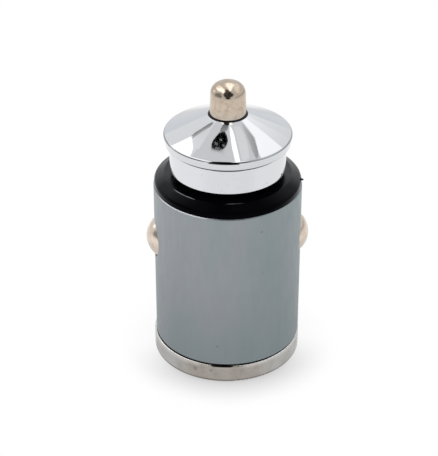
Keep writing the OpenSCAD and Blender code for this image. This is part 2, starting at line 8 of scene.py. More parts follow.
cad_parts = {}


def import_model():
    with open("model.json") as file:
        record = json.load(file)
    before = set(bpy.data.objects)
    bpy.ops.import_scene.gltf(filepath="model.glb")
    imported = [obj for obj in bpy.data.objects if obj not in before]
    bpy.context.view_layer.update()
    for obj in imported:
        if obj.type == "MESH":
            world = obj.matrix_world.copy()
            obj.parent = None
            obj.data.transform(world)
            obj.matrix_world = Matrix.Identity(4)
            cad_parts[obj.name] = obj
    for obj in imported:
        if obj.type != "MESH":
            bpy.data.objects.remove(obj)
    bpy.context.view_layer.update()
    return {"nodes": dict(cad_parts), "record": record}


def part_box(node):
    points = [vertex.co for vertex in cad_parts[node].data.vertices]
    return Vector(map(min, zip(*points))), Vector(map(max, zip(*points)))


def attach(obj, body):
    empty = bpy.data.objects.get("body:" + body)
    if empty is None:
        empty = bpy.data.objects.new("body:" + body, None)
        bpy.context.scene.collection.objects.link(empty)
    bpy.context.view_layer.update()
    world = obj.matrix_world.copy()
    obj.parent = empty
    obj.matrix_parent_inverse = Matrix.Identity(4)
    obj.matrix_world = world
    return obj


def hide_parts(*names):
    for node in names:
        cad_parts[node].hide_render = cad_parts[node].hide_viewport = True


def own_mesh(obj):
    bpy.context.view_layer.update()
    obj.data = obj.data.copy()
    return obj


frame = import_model()
nodes = frame["nodes"]

MM = 0.001

# Camera, fitted to the photo: degrees, millimetres from the target, and lens
CAMERA_AZIMUTH = -4.4
CAMERA_ELEVATION = 31.3
CAMERA_DISTANCE = 224.6
CAMERA_TARGET = Vector((0.0, 0.0, 20.2))
CAMERA_LENS = 124.7
# How far the aim lies left of the target and below it
AIM_LEFT = 1.22
AIM_DOWN = 0.75

# The chrome cap as it is turned, in millimetres and degrees
CAP_Z0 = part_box("tip_cap")[0].z / MM
CAP_Z1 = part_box("tip_cap")[1].z / MM
CAP_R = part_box("tip_cap")[1].x / MM
CAP_HOLE_R = 2.76
CAP_BORE_R = 7.2
CAP_WALL = 0.6
CAP_FLAT_R = 4.49
CONE_SLOPE = 25.0
RIM_ROUND = 0.3
BAND_H = 1.05
BAND_TAPER = 9.0
BAND_ROUND = 0.12
SKIRT_R = 8.1
SKIRT_ROUND = 0.25
# Faces round the turned cap
TURNED_SIDES = 256
# The angle from which an edge between two of its faces is sharp
SHARP_ANGLE = 14
# How near its ends a long straight of its outline gets a point of its own
FLAT_MARGIN = 0.02

# Heights and radii that the painted highlights and painted shade at edges, and the chamfer's bare edge,
# are found by, in millimetres
RING_Z1 = 2.7
BARREL_Z1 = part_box("barrel")[1].z / MM
COLLAR_H = 1.65
COLLAR_Z1 = BARREL_Z1 + COLLAR_H
SHOULDER_R = 8.9
# Where a highlight is painted along the collar's shoulder: turn from the front and half length in
# degrees, and strength
SHOULDER_HIGHLIGHTS = ((-43, 13, 1.0), (6, 7, 0.6))
# Turn from the front about which the rim's painted black reflection and the ring's painted black shadow
# lie
BLACK_TURN = -3.5
# Round marks on the barrel and the ring: place and radius
BARREL_MARKS = (((3.9, -9.6, 24.4), 0.28), ((4.2, -9.5, 17.6), 0.2))
RING_MARKS = (((-5.3, -9.2, 1.6), 0.45), ((-3.1, -10.1, 1.8), 0.3))

# The collar's burr: its middle, half its length, half its thickness, and how far its tip hangs
BURR_PLACE = Vector((10.3, -1.45, 27.78))
BURR_REACH = 0.26
BURR_THICK = 0.2
BURR_HANG = 0.16

# Distances of the cards from the cap, in millimetres: a near one covers those behind it
PANEL_DISTANCE = 240.0
EDGE_DISTANCE = 242.0
PALE_DISTANCE = 244.0
FRONT_SKY_DISTANCE = 246.0
SIDE_SKY_DISTANCE = 248.0
WINDOW_DISTANCE = 600.0
# Steps between two stations of a band
BAND_STEPS = 6
# The radii on the cone between which the skies show
SKY_RADII = (2.6, 9.5)
# The dark hood, an arch over the camera: the height of its middle, and its radius
HOOD_BASE = 30.0
HOOD_R = 200.0
# The black stand in front of the object: half its width, its lowest and highest point, and its distance
STAND_HALF = 26.0
STAND_HEIGHTS = (22.0, 70.0)
STAND_DISTANCE = 150.0
# The two softboxes behind the object: turn to each side, elevation, distance, size and aim
SOFTBOX_TURN = 143.0
SOFTBOX_ELEVATION = 41.0
SOFTBOX_DISTANCE = 300.0
SOFTBOX_SIZE = (110.0, 190.0)
SOFTBOX_TARGET = Vector((0.0, 0.0, 30.0))
# Half the floor's width, in metres
FLOOR_HALF = 1.5
# How far the floor's contact shadow reaches in millimetres, and how dark it gets
SHADOW_REACH = 7.0
SHADOW_TONE = 0.58

WHITE = (1.0, 1.0, 1.0, 1.0)


def srgb(r, g, b):
    """A colour given as 0 to 255 on screen, as the linear colour that the shaders take."""
    return tuple(
        v / 12.92 if v <= 0.04045 else ((v + 0.055) / 1.055) ** 2.4
        for v in (r / 255, g / 255, b / 255)
    ) + (1.0,)


def direction(azimuth, elevation=0.0):
    """Unit vector from the object, in degrees: azimuth 0 is towards the front, 90 to the right."""
    a = math.radians(azimuth)
    e = math.radians(elevation)
    return Vector((math.sin(a) * math.cos(e), -math.cos(a) * math.cos(e), math.sin(e)))


def cone_z(radius):
    """Height of the cap's cone at a radius."""
    return CAP_Z1 - (radius - CAP_HOLE_R) * math.tan(math.radians(CONE_SLOPE))


def rim_centre():
    """Radius and height that the rim's round is drawn about, so that it meets the cone."""
    slope = math.radians(CONE_SLOPE)
    r = CAP_R - RIM_ROUND
    return r, cone_z(r + RIM_ROUND * math.sin(slope)) - RIM_ROUND * math.cos(slope)


RIM_R, RIM_Z = rim_centre()
LEDGE_Z = RIM_Z - BAND_H


class Nodes:
    """The node tree of a material or a world, with one short call per kind of node."""

    def __init__(self, owner):
        owner.use_nodes = True
        self.tree = owner.node_tree
        self.tree.nodes.clear()

    def node(self, kind, **settings):
        made = self.tree.nodes.new(kind)
        for key, value in settings.items():
            setattr(made, key, value)
        return made

    def put(self, socket, value):
        """Links a socket to another node's output, or sets it to a plain value."""
        if isinstance(value, bpy.types.NodeSocket):
            self.tree.links.new(value, socket)
        else:
            socket.default_value = value

    def math(self, operation, a, b=0.0):
        made = self.node("ShaderNodeMath", operation=operation)
        self.put(made.inputs[0], a)
        self.put(made.inputs[1], b)
        return made.outputs[0]

    def times(self, product, *factors):
        """All the values multiplied."""
        for factor in factors:
            product = self.math("MULTIPLY", product, factor)
        return product

    def vector(self, operation, a, b=None, output=0):
        """A vector operation, and the number or name of the output that is wanted from it."""
        made = self.node("ShaderNodeVectorMath", operation=operation)
        self.put(made.inputs[0], a)
        if b is not None:
            self.put(made.inputs[1], b)
        return made.outputs[output]

    def axes(self, vector):
        """The parts of a vector, to be picked by X, Y or Z."""
        made = self.node("ShaderNodeSeparateXYZ")
        self.put(made.inputs[0], vector)
        return made.outputs

    def span(self, value, low, high, to_low=0.0, to_high=1.0, smooth=True):
        """The value moved from one range to another, and held inside it."""
        kind = "SMOOTHSTEP" if smooth else "LINEAR"
        made = self.node("ShaderNodeMapRange", interpolation_type=kind)
        self.put(made.inputs["Value"], value)
        self.put(made.inputs["From Min"], low)
        self.put(made.inputs["From Max"], high)
        self.put(made.inputs["To Min"], to_low)
        self.put(made.inputs["To Max"], to_high)
        return made.outputs["Result"]

    def mix(self, factor, a, b):
        """A mix of two colours."""
        made = self.node("ShaderNodeMix", data_type="RGBA")
        self.put(made.inputs["Factor"], factor)
        self.put(made.inputs["A"], a)
        self.put(made.inputs["B"], b)
        return made.outputs["Result"]

    def choice(self, factor, a, b):
        """One shader where the factor is 0, another where it is 1."""
        made = self.node("ShaderNodeMixShader")
        for socket, value in zip(made.inputs, (factor, a, b)):
            self.put(socket, value)
        return made.outputs[0]


class Shader(Nodes):
    """A material under construction. Its places are in millimetres from the object's origin."""

    def __init__(self, name):
        self.material = bpy.data.materials.new(name)
        super().__init__(self.material)
        self.output = self.node("ShaderNodeOutputMaterial")
        place = self.node("ShaderNodeTexCoord").outputs["Object"]
        self.position = self.vector("MULTIPLY", place, (1 / MM,) * 3)

    def place(self, letter):
        """How far along X, Y or Z the surface lies."""
        return self.axes(self.position)[letter]

    def towards(self, turn):
        """How far out the surface lies towards that turn from the front that the camera sees."""
        way = direction(CAMERA_AZIMUTH + turn)
        return self.vector("DOT_PRODUCT", self.position, way, "Value")

    def radius(self):
        """How far the surface lies from the upright axis."""
        flat = self.vector("MULTIPLY", self.position, (1, 1, 0))
        return self.vector("LENGTH", flat, output="Value")

    def noise(self, per_mm, stretch=(1, 1, 1), detail=3.0, roughness=0.55, seed=0.0):
        """Noise with that many features a millimetre, times the stretch along each axis."""
        made = self.node("ShaderNodeTexNoise", noise_dimensions="4D")
        self.put(made.inputs["Vector"], self.vector("MULTIPLY", self.position, stretch))
        self.put(made.inputs["W"], seed)
        self.put(made.inputs["Scale"], per_mm)
        self.put(made.inputs["Detail"], detail)
        self.put(made.inputs["Roughness"], roughness)
        return made.outputs["Fac"]

    def specks(self, per_mm, share, size, seed=0.0):
        """Scattered small round marks: the share of cells that hold one, and its size in a cell."""
        cells = self.node("ShaderNodeTexVoronoi", voronoi_dimensions="4D")
        self.put(cells.inputs["Vector"], self.position)
        self.put(cells.inputs["W"], seed)
        self.put(cells.inputs["Scale"], per_mm)
        near = self.span(cells.outputs["Distance"], size * 0.6, size, 1.0, 0.0)
        split = self.node("ShaderNodeSeparateColor")
        self.put(split.inputs[0], cells.outputs["Color"])
        chosen = self.math("LESS_THAN", split.outputs[0], share)
        return self.times(near, chosen)

    def with_marks(self, specks, marks):
        """The specks, and round marks that fade from half their radius outward."""
        for place, radius in marks:
            away = self.vector("DISTANCE", self.position, place, "Value")
            mark = self.span(away, radius / 2, radius, 1.0, 0.0)
            specks = self.math("MAXIMUM", specks, mark)
        return specks

    def line(self, value, middle, full, gone, strength=1.0):
        """A line where the value is near its middle: full up to one distance, gone at the next."""
        off = self.math("ABSOLUTE", self.math("SUBTRACT", value, middle))
        return self.span(off, full, gone, strength, 0.0)

    def bump(self, height, distance_mm, strength=1.0, below=None):
        made = self.node("ShaderNodeBump")
        self.put(made.inputs["Height"], height)
        self.put(made.inputs["Distance"], distance_mm * MM)
        self.put(made.inputs["Strength"], strength)
        if below is not None:
            self.put(made.inputs["Normal"], below)
        return made.outputs["Normal"]

    def glow(self, strength):
        """White light of that strength."""
        made = self.node("ShaderNodeEmission")
        self.put(made.inputs["Color"], WHITE)
        self.put(made.inputs["Strength"], strength)
        return made.outputs[0]

    def ends_in(self, shader):
        self.put(self.output.inputs["Surface"], shader)
        return self.material

    def surface(self, **sockets):
        """Ends the material in one principled surface."""
        made = self.node("ShaderNodeBsdfPrincipled")
        for key, value in sockets.items():
            self.put(made.inputs[key.replace("_", " ")], value)
        return self.ends_in(made.outputs["BSDF"])


def anodised_grey():
    """Satin grey anodising: faint upright streaks, fine grain and a few dark specks."""
    s = Shader("anodised_grey")
    height = s.place("Z")
    # painted shade: the grey is darker and greener to the right, where the studio is darker, and towards
    # the foot
    right = s.span(s.towards(90), -6, 9)
    cool = s.mix(right, srgb(150, 157, 161), srgb(139, 151, 154))
    warm = s.mix(right, srgb(155, 158, 163), srgb(144, 152, 156))
    streaks = s.noise(0.35, stretch=(1, 1, 0.12), detail=2.0)
    tint = s.mix(s.span(streaks, 0.38, 0.62), cool, warm)
    cloud = s.noise(0.12, detail=2.0, seed=4.0)
    tint = s.mix(s.span(cloud, 0.3, 0.7, 0.0, 0.25), tint, srgb(156, 161, 163))
    # painted shade: darker towards the foot, where the floor it faces is shadowed
    tint = s.mix(s.span(height, 3, 15, 0.4, 0.0), tint, srgb(136, 151, 152))
    marks = s.with_marks(s.specks(0.45, 0.06, 0.16, seed=2.0), BARREL_MARKS)
    colour = s.mix(s.times(marks, 0.3), tint, srgb(96, 103, 108))
    # the chamfer's bare edge, with a painted highlight on it, brightest at the front left
    bare_edge_highlight = s.span(height, BARREL_Z1 - 0.14, BARREL_Z1 - 0.1)
    bare_edge_highlight = s.times(bare_edge_highlight, s.span(s.towards(-39), 8.4, 10.0))
    colour = s.mix(bare_edge_highlight, colour, srgb(212, 214, 217))
    rough = s.noise(1.3, stretch=(1, 1, 0.3), seed=1.0)
    return s.surface(
        Base_Color=colour, Metallic=0.9, Roughness=s.span(rough, 0.3, 0.7, 0.36, 0.46),
        Normal=s.bump(s.noise(14.0, detail=2.0), 0.004, 0.5),
    )


def nickel_ring():
    """Nickel plate with a turned grain round the ring, grey stains and small pits."""
    s = Shader("nickel_ring")
    height = s.place("Z")
    forward = s.towards(BLACK_TURN)
    # the stains are patchy; both tones are darker and browner at the front, painted shade where the ring
    # faces the floor in the object's shadow
    stain = s.span(s.noise(0.5), 0.4, 0.72)
    front = s.span(forward, 7.5, 10.2)
    clean = s.mix(front, srgb(198, 197, 194), srgb(188, 181, 174))
    stained = s.mix(front, srgb(184, 181, 177), srgb(168, 159, 151))
    colour = s.mix(stain, clean, stained)
    pits = s.with_marks(s.specks(1.6, 0.1, 0.2, seed=5.0), RING_MARKS)
    colour = s.mix(s.times(pits, 0.35), colour, srgb(112, 104, 98))
    # painted light: a painted highlight along the top, weaker at the front, a painted black shadow over a
    # length at the front, and painted shade at the foot
    bright = s.span(height, RING_Z1 - 0.8, RING_Z1 - 0.08)
    bright = s.times(bright, s.span(forward, 9.9, 10.2, 0.42, 0.12))
    colour = s.mix(bright, colour, srgb(248, 246, 242))
    # painted shadow: black along the top for a length at the front, in the gap under the barrel
    start = s.span(forward, 10.3, 10.5, RING_Z1 + 0.03, RING_Z1 - 0.24, smooth=False)
    black = s.span(s.math("SUBTRACT", height, start), 0.0, 0.05, 0.0, 0.97)
    colour = s.mix(black, colour, srgb(16, 15, 15))
    # painted shadow: darker at the foot, where the ring meets the floor
    colour = s.mix(s.span(height, 0.22, 0.42, 0.8, 0.0), colour, srgb(124, 119, 114))
    turned_grain = s.noise(1.2, stretch=(0.3, 0.3, 14), detail=2.0, seed=3.0)
    dents = s.bump(s.noise(0.6, detail=2.0), 0.015, 0.5)
    return s.surface(
        Base_Color=colour, Metallic=1.0, Roughness=s.span(stain, 0.0, 1.0, 0.2, 0.34),
        Normal=s.bump(turned_grain, 0.004, 0.6, dents),
    )


def black_plastic():
    """Half matt black moulding with specks of dust, and a painted highlight along the collar's shoulder.
    """
    s = Shader("black_plastic")
    height = s.place("Z")
    dust = s.specks(3.0, 0.04, 0.16, seed=8.0)
    colour = s.mix(s.times(dust, 0.5), srgb(5, 5, 8), srgb(44, 44, 47))
    # painted highlight: a broken light line along the edge of the collar's shoulder
    on_top = s.span(height, COLLAR_Z1 - 0.1, COLLAR_Z1 - 0.05)
    shoulder = s.times(s.line(s.radius(), SHOULDER_R, 0.02, 0.09), on_top)
    broken = s.span(s.noise(1.2, seed=5.0), 0.35, 0.5, 0.4, 0.9)
    for turn, half, strength in SHOULDER_HIGHLIGHTS:
        near = SHOULDER_R * math.cos(math.radians(half))
        length = s.span(s.towards(turn), near, near + 0.1, 0.0, strength)
        colour = s.mix(s.times(shoulder, length, broken), colour, srgb(150, 151, 154))
    # handling has dulled the collar's front and left its sides glossy
    forward = s.towards(0)
    glossy = s.times(s.span(forward, -6, -2, 0.0, 0.25), s.span(forward, 0.5, 4.0, 1.0, 0.0))
    glossy = s.math("ADD", glossy, s.span(forward, 3.0, 9.0, 0.0, -0.09))
    on_collar = s.math("GREATER_THAN", height, BARREL_Z1 - 0.2)
    return s.surface(
        Base_Color=colour, Metallic=0.0,
        Roughness=s.span(s.noise(0.8, detail=4.0), 0.3, 0.7, 0.16, 0.28),
        Specular_IOR_Level=s.math("ADD", 0.1, s.times(glossy, on_collar)),
        Specular_Tint=(0.88, 0.9, 1.0, 1.0),
        Normal=s.bump(s.noise(9.0, detail=2.0, seed=2.0), 0.003, 0.4),
    )


def ledge_painted_shade(s, height, forward):
    """The painted shade along the cap's ledge, a dark line: under it at the front, and on the band's foot
    at the sides.
    """
    reach = s.math(
        "ADD",
        s.span(forward, 2.0, 8.1, 0.534, 0.422, smooth=False),
        s.span(forward, 7.7, 8.05, 0.0, 0.045),
    )
    reach = s.math("SUBTRACT", reach, s.span(forward, -5.0, 1.5, 0.3, 0.0))
    under = s.math("SUBTRACT", s.math("SUBTRACT", LEDGE_Z, height), reach)
    top = s.span(forward, 2.0, 7.5, 0.13, 0.0)
    above = s.math("SUBTRACT", s.math("SUBTRACT", height, LEDGE_Z), top)
    return s.times(s.span(under, 0.0, 0.06, 1.0, 0.0), s.span(above, 0.0, 0.05, 1.0, 0.0))


def chrome_cap():
    """Bright chrome with faint waves, small pits, painted shade and painted dark reflections along its
    edges, and smudges on its skirt.
    """
    s = Shader("chrome_cap")
    height = s.place("Z")
    forward = s.towards(0)
    pits = s.specks(0.9, 0.12, 0.1, seed=1.0)
    colour = s.mix(s.times(pits, 0.5), srgb(220, 222, 225), srgb(150, 152, 156))
    # painted shade: a dark line along the ledge, where the band overhangs the skirt
    ledge_shade = ledge_painted_shade(s, height, forward)
    colour = s.mix(s.times(ledge_shade, 0.95), colour, srgb(40, 41, 43))
    # painted dark reflection: the rim's round is grey, and black for a length at the front
    grey = s.line(height, RIM_Z + 0.17, 0.08, 0.12, 0.6)
    colour = s.mix(grey, colour, srgb(118, 120, 124))
    length = s.span(s.towards(BLACK_TURN), 8.6, 8.7)
    black = s.times(length, s.line(height, RIM_Z + 0.12, 0.16, 0.2, 0.95))
    colour = s.mix(black, colour, srgb(22, 22, 24))
    # the skirt is smudged low down, and a little darker at the front
    smudges = s.noise(1.3, stretch=(1, 1, 1.6), detail=5.0, roughness=0.7, seed=11.0)
    low_down = s.span(height, LEDGE_Z - 1.2, LEDGE_Z - 0.6, 0.4, 0.0)
    smudges = s.times(s.span(smudges, 0.57, 0.75), low_down)
    colour = s.mix(smudges, colour, srgb(140, 142, 146))
    on_skirt = s.math("LESS_THAN", height, LEDGE_Z - 0.2)
    darker_front = s.times(on_skirt, s.span(forward, 6.9, 8.0, 0.0, 0.12))
    colour = s.mix(darker_front, colour, srgb(140, 142, 146))
    haze = s.noise(0.4, detail=4.0, seed=7.0)
    waves = s.noise(0.45, detail=2.0, seed=2.0)
    return s.surface(
        Base_Color=colour, Metallic=1.0, Roughness=s.span(haze, 0.45, 0.75, 0.02, 0.045),
        Normal=s.bump(waves, 0.0015, 0.5, s.bump(pits, 0.004, -0.6)),
    )


def contact_nickel():
    """Warm nickel plate on brass, rubbed where it slides and pitted."""
    s = Shader("contact_nickel")
    worn = s.span(s.noise(0.9, detail=5.0, roughness=0.65), 0.4, 0.7)
    # the side contacts are lighter than the pin
    side = s.span(s.math("ABSOLUTE", s.place("X")), 8.5, 9.5)
    light = s.mix(side, srgb(204, 190, 174), srgb(226, 212, 198))
    dark = s.mix(side, srgb(184, 164, 143), srgb(208, 192, 174))
    colour = s.mix(worn, light, dark)
    # the pin is greyer near its base
    foot = s.span(s.place("Z"), CAP_Z1 + 0.1, CAP_Z1 + 1.5, 0.5, 0.0)
    foot = s.times(foot, s.math("SUBTRACT", 1.0, side))
    colour = s.mix(foot, colour, srgb(186, 181, 174))
    pits = s.specks(2.2, 0.08, 0.2, seed=3.0)
    colour = s.mix(s.times(pits, 0.5), colour, srgb(110, 86, 66))
    rubbed = s.noise(1.5, stretch=(1, 1, 8), detail=2.0, seed=6.0)
    return s.surface(
        Base_Color=colour, Metallic=1.0, Roughness=s.span(worn, 0.0, 1.0, 0.15, 0.27),
        Normal=s.bump(rubbed, 0.005, 0.5, s.bump(pits, 0.02, -0.6)),
    )


def plain_metal(name, light, dark, rough, per_mm, stretch):
    """A metal with soft colour variation and a directional grain."""
    s = Shader(name)
    patches = s.span(s.noise(per_mm, detail=4.0), 0.35, 0.68)
    grain = s.noise(6.0, stretch=stretch, detail=2.0, seed=2.0)
    return s.surface(
        Base_Color=s.mix(patches, light, dark), Metallic=1.0,
        Roughness=s.span(patches, 0.0, 1.0, rough, rough + 0.12),
        Normal=s.bump(grain, 0.004, 0.6),
    )


def plain_mould(name, light, dark, rough, per_mm, grain=0.006, speck=None):
    """A moulded or fired material with soft colour variation, grain and, if asked, specks."""
    s = Shader(name)
    colour = s.mix(s.span(s.noise(per_mm, detail=4.0), 0.35, 0.65), light, dark)
    if speck is not None:
        colour = s.mix(s.specks(5.0, 0.1, 0.25), colour, speck)
    return s.surface(
        Base_Color=colour, Metallic=0.0,
        Roughness=s.span(s.noise(2.0, seed=3.0), 0.3, 0.7, rough, rough + 0.15),
        Normal=s.bump(s.noise(10.0, detail=2.0, seed=5.0), grain, 0.5),
    )


def board_laminate():
    """Green solder mask over copper tracks, with darker gaps between them."""
    s = Shader("board_laminate")
    # the tracks run on the board's broad face, so the pattern is turned upright
    upright = s.node("ShaderNodeVectorRotate", rotation_type="X_AXIS")
    s.put(upright.inputs["Vector"], s.position)
    s.put(upright.inputs["Angle"], math.pi / 2)
    tracks = s.node("ShaderNodeTexBrick", offset=0.37, squash=1.7)
    s.put(tracks.inputs["Vector"], upright.outputs[0])
    s.put(tracks.inputs["Color1"], srgb(22, 104, 62))
    s.put(tracks.inputs["Color2"], srgb(26, 116, 70))
    s.put(tracks.inputs["Mortar"], srgb(13, 72, 42))
    s.put(tracks.inputs["Scale"], 0.5)
    s.put(tracks.inputs["Mortar Size"], 0.03)
    cloud = s.span(s.noise(0.9), 0.3, 0.7, 0.0, 0.3)
    return s.surface(
        Base_Color=s.mix(cloud, tracks.outputs["Color"], srgb(34, 128, 80)),
        Metallic=0.0, Roughness=0.3,
        Normal=s.bump(tracks.outputs["Fac"], 0.03, -0.6),
    )


MATERIALS = {
    "anodised_grey": anodised_grey(),
    "nickel_ring": nickel_ring(),
    "black_plastic": black_plastic(),
    "chrome_cap": chrome_cap(),
    "contact_nickel": contact_nickel(),
    "spring_steel": plain_metal(
        "spring_steel", srgb(196, 196, 194), srgb(164, 163, 160),
        rough=0.22, per_mm=1.4, stretch=(1, 1, 0.3),
    ),
    "terminal_brass": plain_metal(
        "terminal_brass", srgb(224, 192, 122), srgb(198, 160, 92),
        rough=0.22, per_mm=0.8, stretch=(8, 1, 1),
    ),
    "shell_steel": plain_metal(
        "shell_steel", srgb(214, 215, 218), srgb(188, 189, 192),
        rough=0.2, per_mm=0.5, stretch=(6, 1, 1),
    ),
    "white_plastic": plain_mould(
        "white_plastic", srgb(240, 240, 236), srgb(228, 227, 220), rough=0.36, per_mm=0.5,
    ),
    "board_laminate": board_laminate(),
    "ferrite": plain_mould(
        "ferrite", srgb(62, 62, 66), srgb(48, 48, 51),
        rough=0.5, per_mm=1.2, grain=0.02, speck=srgb(92, 92, 96),
    ),
    "capacitor_can": plain_metal(
        "capacitor_can", srgb(216, 217, 220), srgb(200, 201, 205),
        rough=0.24, per_mm=0.7, stretch=(1, 8, 1),
    ),
    "chip_black": plain_mould(
        "chip_black", srgb(38, 38, 40), srgb(30, 30, 32), rough=0.42, per_mm=1.5, grain=0.012,
    ),
    "chip_ceramic": plain_mould(
        "chip_ceramic", srgb(178, 150, 112), srgb(158, 130, 96), rough=0.4, per_mm=1.5,
    ),
}


def dress(obj, slot_name):
    """Gives a piece its slot's material."""
    obj.data.materials.clear()
    obj.data.materials.append(MATERIALS[slot_name])


def placed(name, data):
    """A new object in the scene."""
    obj = bpy.data.objects.new(name, data)
    bpy.context.scene.collection.objects.link(obj)
    return obj


def built(name, made):
    """A new object in the scene, from a mesh under construction."""
    mesh = bpy.data.meshes.new(name)
    made.to_mesh(mesh)
    made.free()
    return placed(name, mesh)


def arc(x, z, radius, start, end, steps=8):
    """Points of a round in a turned outline, from one angle to another in degrees."""
    turns = [math.radians(start + (end - start) * i / steps) for i in range(steps + 1)]
    return [(x + radius * math.cos(a), z + radius * math.sin(a)) for a in turns]


def held_flat(outline):
    """The closed outline with a point near each end of its long straights.

    The points keep the rounds beside a straight from bending its shading.
    """
    held = []
    for (r, z), (next_r, next_z) in zip(outline, outline[1:] + outline[:1]):
        held.append((r, z))
        length = math.hypot(next_r - r, next_z - z)
        if length > 10 * FLAT_MARGIN:
            for share in (FLAT_MARGIN / length, 1 - FLAT_MARGIN / length):
                held.append((r + (next_r - r) * share, z + (next_z - z) * share))
    return held


def turned(name, outline):
    """A piece turned about Z, from a closed outline of radii and heights."""
    made = bmesh.new()
    turns = [math.tau * i / TURNED_SIDES for i in range(TURNED_SIDES)]
    rings = []
    for r, z in held_flat(outline):
        places = [(r * math.cos(a) * MM, r * math.sin(a) * MM, z * MM) for a in turns]
        rings.append([made.verts.new(place) for place in places])
    for low, high in zip(rings, rings[1:] + rings[:1]):
        for i in range(TURNED_SIDES):
            j = (i + 1) % TURNED_SIDES
            made.faces.new((low[i], low[j], high[j], high[i]))
    bmesh.ops.recalc_face_normals(made, faces=made.faces)
    for face in made.faces:
        face.smooth = True
    for edge in made.edges:
        edge.smooth = edge.calc_face_angle(0) < math.radians(SHARP_ANGLE)
    return built(name, made)


def cap():
    """The chrome cap: cone, round rim, tapered band, ledge and skirt outside, and its bore inside."""
    taper = math.radians(BAND_TAPER)
    # the band tapers in from the rim's round to a smaller round at its foot
    band_r = RIM_R + RIM_ROUND * math.cos(taper) - (BAND_H - BAND_ROUND) * math.tan(taper)
    foot_r = band_r - BAND_ROUND / math.cos(taper)
    drop = CAP_WALL / math.cos(math.radians(CONE_SLOPE))
    outline = [(CAP_BORE_R, CAP_Z0)]
    outline += arc(SKIRT_R - SKIRT_ROUND, CAP_Z0 + SKIRT_ROUND, SKIRT_ROUND, -90, 0)
    outline += [(SKIRT_R, LEDGE_Z)]
    outline += arc(foot_r, LEDGE_Z + BAND_ROUND, BAND_ROUND, -90, -BAND_TAPER)
    outline += arc(RIM_R, RIM_Z, RIM_ROUND, -BAND_TAPER, 90 - CONE_SLOPE)
    outline += [(CAP_HOLE_R, CAP_Z1)]
    outline += [(CAP_HOLE_R, cone_z(CAP_FLAT_R) - drop), (CAP_FLAT_R, cone_z(CAP_FLAT_R) - drop)]
    outline += [(CAP_BORE_R, cone_z(CAP_BORE_R) - drop)]
    obj = turned("cap_turned", outline)
    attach(obj, "housing")
    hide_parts("tip_cap")
    dress(obj, "chrome_cap")


def springs():
    """Each spring as a copy of its own, dressed in spring steel and hung on the housing in place of its
    CAD node.
    """
    for joint in frame["record"]["behaviour"]["joints"]:
        for soft in joint["deforming_nodes"]:
            node = soft["node"]
            obj = placed(node + "_sprung", nodes[node].data.copy())
            dress(obj, "spring_steel")
            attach(obj, "housing")
            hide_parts(node)
            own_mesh(obj)


def burr():
    """The curl of plastic left on the collar's edge, a lump that tapers outward."""
    made = bmesh.new()
    bmesh.ops.create_icosphere(made, subdivisions=4, radius=1.0)
    for vert in made.verts:
        lump = 1 + 0.35 * noise.noise(vert.co * 1.7)
        # 0 at the end that sits in the collar, 1 at the tip
        reach = 0.5 + 0.5 * vert.co.x
        thick = BURR_THICK * (1 - 0.7 * reach)
        hang = BURR_HANG * reach ** 2
        place = Vector((BURR_REACH * vert.co.x, thick * vert.co.y, thick * vert.co.z - hang))
        vert.co = (BURR_PLACE + place * lump) * MM
    for face in made.faces:
        face.smooth = True
    obj = built("collar_burr", made)
    dress(obj, "black_plastic")
    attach(obj, "housing")


def aim(obj, place, target):
    """Places an object at a point in millimetres, and turns its -Z to the target."""
    obj.location = place * MM
    obj.rotation_mode = "QUATERNION"
    obj.rotation_quaternion = (target - place).to_track_quat("-Z", "Y")


def eye():
    """Where the camera stands, in millimetres."""
    return CAMERA_TARGET + direction(CAMERA_AZIMUTH, CAMERA_ELEVATION) * CAMERA_DISTANCE


def camera():
    """The photo's camera, aimed a little to the left of its target and below it."""
    back = direction(CAMERA_AZIMUTH, CAMERA_ELEVATION)
    right = Vector((0, 0, 1)).cross(back).normalized()
    up = back.cross(right)
    data = bpy.data.cameras.new("camera")
    data.lens = CAMERA_LENS
    data.clip_start = 0.01
    data.clip_end = 10.0
    obj = placed("camera", data)
    aim(obj, eye(), CAMERA_TARGET - right * AIM_LEFT - up * AIM_DOWN)
    bpy.context.scene.camera = obj


def softbox(name, turn, radiance):
    """A soft rectangular lamp that faces the object and shines with that radiance."""
    data = bpy.data.lights.new(name, "AREA")
    data.shape = "RECTANGLE"
    data.size, data.size_y = (side * MM for side in SOFTBOX_SIZE)
    # a lamp's watts spread over its face and half of all directions
    data.energy = radiance * math.pi * data.size * data.size_y
    obj = placed(name, data)
    way = direction(CAMERA_AZIMUTH + turn, SOFTBOX_ELEVATION)
    aim(obj, SOFTBOX_TARGET + way * SOFTBOX_DISTANCE, SOFTBOX_TARGET)
    obj.visible_camera = False
    obj.visible_glossy = False


def from_photo(x, y, z):
    """A place in the photo's own directions: right, away from the camera and up."""
    return Matrix.Rotation(math.radians(CAMERA_AZIMUTH), 4, "Z") @ Vector((x, y, z))


def seen_in_cone(turn, radius, distance):
    """The studio place that the camera sees in the cap's cone, at a turn from the front and a radius.

    The cone is taken to run on past its rim, so cards can reach further than it shows.
    """
    slope = math.radians(CONE_SLOPE)
    out = direction(CAMERA_AZIMUTH + turn)
    place = out * radius + Vector((0, 0, cone_z(radius)))
    normal = out * math.sin(slope) + Vector((0, 0, math.cos(slope)))
    ray = (place - eye()).normalized().reflect(normal)
    # where the ray leaves a ball round the cap
    start = place - Vector((0, 0, CAP_Z0))
    along = start.dot(ray)
    return place + ray * (math.sqrt(along ** 2 + distance ** 2 - start.length_squared) - along)


def card_light():
    """Light as strong as the tone at each corner of a card."""
    s = Shader("card_light")
    tone = s.node("ShaderNodeAttribute", attribute_name="tone").outputs["Fac"]
    return s.ends_in(s.glow(tone))


CARD_LIGHT = card_light()


